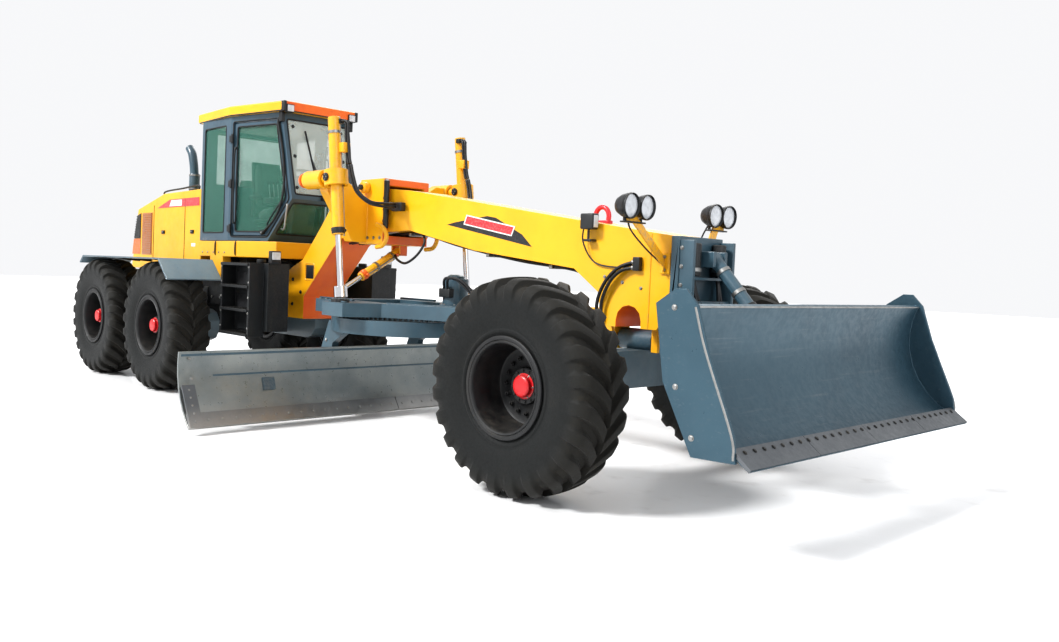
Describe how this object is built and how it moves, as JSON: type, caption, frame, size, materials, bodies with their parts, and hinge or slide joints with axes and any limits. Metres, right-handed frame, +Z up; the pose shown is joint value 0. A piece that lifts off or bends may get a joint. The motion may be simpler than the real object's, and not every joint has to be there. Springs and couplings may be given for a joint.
{
  "type": "motor grader",
  "caption": "Articulated motor grader with cab, tandem rear wheels, leaning front wheels, circle-mounted moldboard and a front dozer blade.",
  "frame": {"origin": "on the ground at the middle of the machine's length and width", "axes": "+X forwards, +Y to the machine's left, +Z up; the wheels stand on z = 0"},
  "size_m": [10.84, 4.88, 3.54],
  "materials": {
    "yellow_paint": "semi-gloss enamel, light site dust",
    "chassis_grey": "satin blue-grey paint",
    "cab_grey": "satin blue-grey paint",
    "dark_steel": "matt black paint",
    "rim_black": "satin black paint",
    "tyre_rubber": "dusty black rubber",
    "rod_chrome": "hard chrome",
    "engine_iron": "rough cast",
    "tinted_glass": "clear, green tint",
    "seat_fabric": "woven",
    "dark_plastic": "moulded"
  },
  "bodies": {
    "rear_frame": {"rear_frame": "dark_steel", "engine_block": "engine_iron", "hood": "yellow_paint", "rear_grille": "dark_steel", "exhaust_stack": "dark_steel", "cab_platform": "yellow_paint", "cab_frame": "cab_grey", "cab_roof": "yellow_paint", "windscreen": "tinted_glass", "lower_windscreen": "tinted_glass", "rear_glass": "tinted_glass", "seat": "seat_fabric", "console": "dark_plastic", "side_steps_right": "chassis_grey", "side_steps_left": "chassis_grey"},
    "front_frame": {"gooseneck": "yellow_paint", "saddle": "yellow_paint", "front_mount": "chassis_grey", "headlamps": "yellow_paint"},
    "front_axle": {"front_axle": "chassis_grey"},
    "drawbar_swivel": {"drawbar_swivel": "dark_steel"},
    "drawbar": {"drawbar": "chassis_grey"},
    "circle": {"circle": "chassis_grey"},
    "blade_carrier": {"blade_carrier": "dark_steel"},
    "moldboard": {"moldboard": "chassis_grey"},
    "front_arm": {"front_arm": "chassis_grey"},
    "front_blade": {"front_blade": "chassis_grey"},
    "front_barrel": {"front_barrel": "chassis_grey"},
    "front_rod": {"front_rod": "rod_chrome"},
    "shift_barrel": {"shift_barrel": "yellow_paint"},
    "shift_rod": {"shift_rod": "rod_chrome"},
    "tandem_right": {"tandem_right": "chassis_grey"},
    "door_right": {"door_right": "cab_grey", "door_glass_right": "tinted_glass"},
    "lean_bracket_right": {"lean_bracket_right": "chassis_grey"},
    "spindle_right": {"spindle_right": "dark_steel"},
    "lift_yoke_right": {"lift_yoke_right": "yellow_paint"},
    "lift_barrel_right": {"lift_barrel_right": "yellow_paint"},
    "lift_rod_right": {"lift_rod_right": "rod_chrome"},
    "tandem_front_wheel_right": {"tandem_front_tyre_right": "tyre_rubber", "tandem_front_rim_right": "rim_black"},
    "tandem_rear_wheel_right": {"tandem_rear_tyre_right": "tyre_rubber", "tandem_rear_rim_right": "rim_black"},
    "front_wheel_right": {"front_tyre_right": "tyre_rubber", "front_rim_right": "rim_black"},
    "tandem_left": {"tandem_left": "chassis_grey"},
    "door_left": {"door_left": "cab_grey", "door_glass_left": "tinted_glass"},
    "lean_bracket_left": {"lean_bracket_left": "chassis_grey"},
    "spindle_left": {"spindle_left": "dark_steel"},
    "lift_yoke_left": {"lift_yoke_left": "yellow_paint"},
    "lift_barrel_left": {"lift_barrel_left": "yellow_paint"},
    "lift_rod_left": {"lift_rod_left": "rod_chrome"},
    "tandem_front_wheel_left": {"tandem_front_tyre_left": "tyre_rubber", "tandem_front_rim_left": "rim_black"},
    "tandem_rear_wheel_left": {"tandem_rear_tyre_left": "tyre_rubber", "tandem_rear_rim_left": "rim_black"},
    "front_wheel_left": {"front_tyre_left": "tyre_rubber", "front_rim_left": "rim_black"}
  },
  "joints": [
    {"name": "articulation", "type": "hinge", "parent": "rear_frame", "child": "front_frame", "pos_m": [-1.8, 0, 1.2], "axis": [0, 0, 1], "range_deg": [-20, 20]},
    {"name": "axle_oscillation", "type": "hinge", "parent": "front_frame", "child": "front_axle", "pos_m": [3.5, 0, 1.1], "axis": [1, 0, 0], "range_deg": [-15, 15]},
    {"name": "tandem_swing_right", "type": "hinge", "parent": "rear_frame", "child": "tandem_right", "pos_m": [-3.5, 0, 0.79], "axis": [0, 1, 0], "range_deg": [-15, 15]},
    {"name": "tandem_front_roll_right", "type": "hinge", "parent": "tandem_right", "child": "tandem_front_wheel_right", "pos_m": [-2.58, -1.36, 0.79], "axis": [0, 1, 0], "continuous": true},
    {"name": "tandem_rear_roll_right", "type": "hinge", "parent": "tandem_right", "child": "tandem_rear_wheel_right", "pos_m": [-4.42, -1.36, 0.79], "axis": [0, 1, 0], "continuous": true},
    {"name": "door_swing_right", "type": "hinge", "parent": "rear_frame", "child": "door_right", "pos_m": [-2.22664, -0.70728, 2.645], "axis": [0, 0, -1], "range_deg": [0, 80]},
    {"name": "wheel_lean_right", "type": "hinge", "parent": "front_axle", "child": "lean_bracket_right", "pos_m": [3.5, -0.865, 0.79], "axis": [1, 0, 0], "range_deg": [-17, 17]},
    {"name": "steering_right", "type": "hinge", "parent": "lean_bracket_right", "child": "spindle_right", "pos_m": [3.5, -1.02, 0.79], "axis": [0, 0, 1], "range_deg": [-45, 45]},
    {"name": "front_roll_right", "type": "hinge", "parent": "spindle_right", "child": "front_wheel_right", "pos_m": [3.5, -1.36, 0.79], "axis": [0, 1, 0], "continuous": true},
    {"name": "tandem_swing_left", "type": "hinge", "parent": "rear_frame", "child": "tandem_left", "pos_m": [-3.5, 0, 0.79], "axis": [0, 1, 0], "range_deg": [-15, 15]},
    {"name": "tandem_front_roll_left", "type": "hinge", "parent": "tandem_left", "child": "tandem_front_wheel_left", "pos_m": [-2.58, 1.36, 0.79], "axis": [0, 1, 0], "continuous": true},
    {"name": "tandem_rear_roll_left", "type": "hinge", "parent": "tandem_left", "child": "tandem_rear_wheel_left", "pos_m": [-4.42, 1.36, 0.79], "axis": [0, 1, 0], "continuous": true},
    {"name": "door_swing_left", "type": "hinge", "parent": "rear_frame", "child": "door_left", "pos_m": [-2.22664, 0.70728, 2.645], "axis": [0, 0, 1], "range_deg": [0, 80]},
    {"name": "wheel_lean_left", "type": "hinge", "parent": "front_axle", "child": "lean_bracket_left", "pos_m": [3.5, 0.865, 0.79], "axis": [1, 0, 0], "range_deg": [-17, 17]},
    {"name": "steering_left", "type": "hinge", "parent": "lean_bracket_left", "child": "spindle_left", "pos_m": [3.5, 1.02, 0.79], "axis": [0, 0, 1], "range_deg": [-45, 45]},
    {"name": "front_roll_left", "type": "hinge", "parent": "spindle_left", "child": "front_wheel_left", "pos_m": [3.5, 1.36, 0.79], "axis": [0, 1, 0], "continuous": true},
    {"name": "drawbar_swing", "type": "hinge", "parent": "front_frame", "child": "drawbar_swivel", "pos_m": [3.05, 0, 1.18], "axis": [0, 0, 1], "range_deg": [-8, 8]},
    {"name": "drawbar_lift", "type": "hinge", "parent": "drawbar_swivel", "child": "drawbar", "pos_m": [3.05, 0, 1.18], "axis": [0, 1, 0], "range_deg": [-12, 7]},
    {"name": "circle_turn", "type": "hinge", "parent": "drawbar", "child": "circle", "pos_m": [0.46, 0, 1.02], "axis": [0, 0, 1], "continuous": true},
    {"name": "blade_pitch", "type": "hinge", "parent": "circle", "child": "blade_carrier", "pos_m": [-0.1, 0, 0.38], "axis": [0, 1, 0], "range_deg": [-5, 40]},
    {"name": "blade_shift", "type": "slide", "parent": "blade_carrier", "child": "moldboard", "axis": [0, -1, 0], "range_m": [-0.65, 0.65]},
    {"name": "lift_yoke_turn_right", "type": "hinge", "parent": "front_frame", "child": "lift_yoke_right", "pos_m": [0.33, -0.88, 2.5], "axis": [1, 0, 0], "range_deg": [-20, 20]},
    {"name": "lift_barrel_turn_right", "type": "hinge", "parent": "lift_yoke_right", "child": "lift_barrel_right", "pos_m": [0.33, -0.88, 2.5], "axis": [0, 1, 0], "range_deg": [-6, 6]},
    {"name": "lift_rod_slide_right", "type": "slide", "parent": "lift_barrel_right", "child": "lift_rod_right", "axis": [0.1282, 0, -0.9917], "range_m": [-0.36, 0.6]},
    {"name": "lift_yoke_turn_left", "type": "hinge", "parent": "front_frame", "child": "lift_yoke_left", "pos_m": [0.33, 0.88, 2.5], "axis": [1, 0, 0], "range_deg": [-20, 20]},
    {"name": "lift_barrel_turn_left", "type": "hinge", "parent": "lift_yoke_left", "child": "lift_barrel_left", "pos_m": [0.33, 0.88, 2.5], "axis": [0, 1, 0], "range_deg": [-6, 6]},
    {"name": "lift_rod_slide_left", "type": "slide", "parent": "lift_barrel_left", "child": "lift_rod_left", "axis": [0.1282, 0, -0.9917], "range_m": [-0.36, 0.6]},
    {"name": "shift_barrel_turn", "type": "hinge", "parent": "front_frame", "child": "shift_barrel", "pos_m": [0.24, 0.05, 1.79], "axis": [1, 0, 0], "range_deg": [-18.2, 30.5]},
    {"name": "shift_rod_slide", "type": "slide", "parent": "shift_barrel", "child": "shift_rod", "axis": [0.034, -0.8726, -0.4873], "range_m": [-0.218, 0.366]},
    {"name": "front_blade_lift", "type": "hinge", "parent": "front_frame", "child": "front_arm", "pos_m": [4.18, 0, 1.12], "axis": [0, 1, 0], "range_deg": [-8, 46]},
    {"name": "front_blade_level", "type": "hinge", "parent": "front_arm", "child": "front_blade", "pos_m": [4.9, 0, 1], "axis": [0, 1, 0], "range_deg": [-47, 9]},
    {"name": "front_barrel_turn", "type": "hinge", "parent": "front_frame", "child": "front_barrel", "pos_m": [4.15, 0, 1.76], "axis": [0, 1, 0], "range_deg": [-3.4, 14.8]},
    {"name": "front_rod_slide", "type": "slide", "parent": "front_barrel", "child": "front_rod", "axis": [0.6596, 0, -0.7516], "range_m": [-0.059, 0.294]}
  ],
  "couplings": [
    {"joint": "wheel_lean_left", "follows": "wheel_lean_right", "ratio": 1},
    {"joint": "steering_left", "follows": "steering_right", "ratio": 1},
    {"joint": "lift_yoke_turn_right", "follows": "drawbar_swing", "ratio": -2.2155},
    {"joint": "lift_barrel_turn_right", "follows": "drawbar_lift", "ratio": -0.2653},
    {"joint": "lift_rod_slide_right", "follows": "drawbar_lift", "m_per_rad": -2.5457},
    {"joint": "lift_yoke_turn_left", "follows": "drawbar_swing", "ratio": -2.2155},
    {"joint": "lift_barrel_turn_left", "follows": "drawbar_lift", "ratio": -0.2653},
    {"joint": "lift_rod_slide_left", "follows": "drawbar_lift", "m_per_rad": -2.5457},
    {"joint": "shift_barrel_turn", "follows": "drawbar_lift", "ratio": -2.46},
    {"joint": "shift_rod_slide", "follows": "drawbar_lift", "m_per_rad": -1.7},
    {"joint": "front_blade_level", "follows": "front_blade_lift", "ratio": -1},
    {"joint": "front_barrel_turn", "follows": "front_blade_lift", "ratio": 0.2999},
    {"joint": "front_rod_slide", "follows": "front_blade_lift", "m_per_rad": 0.3539}
  ]
}
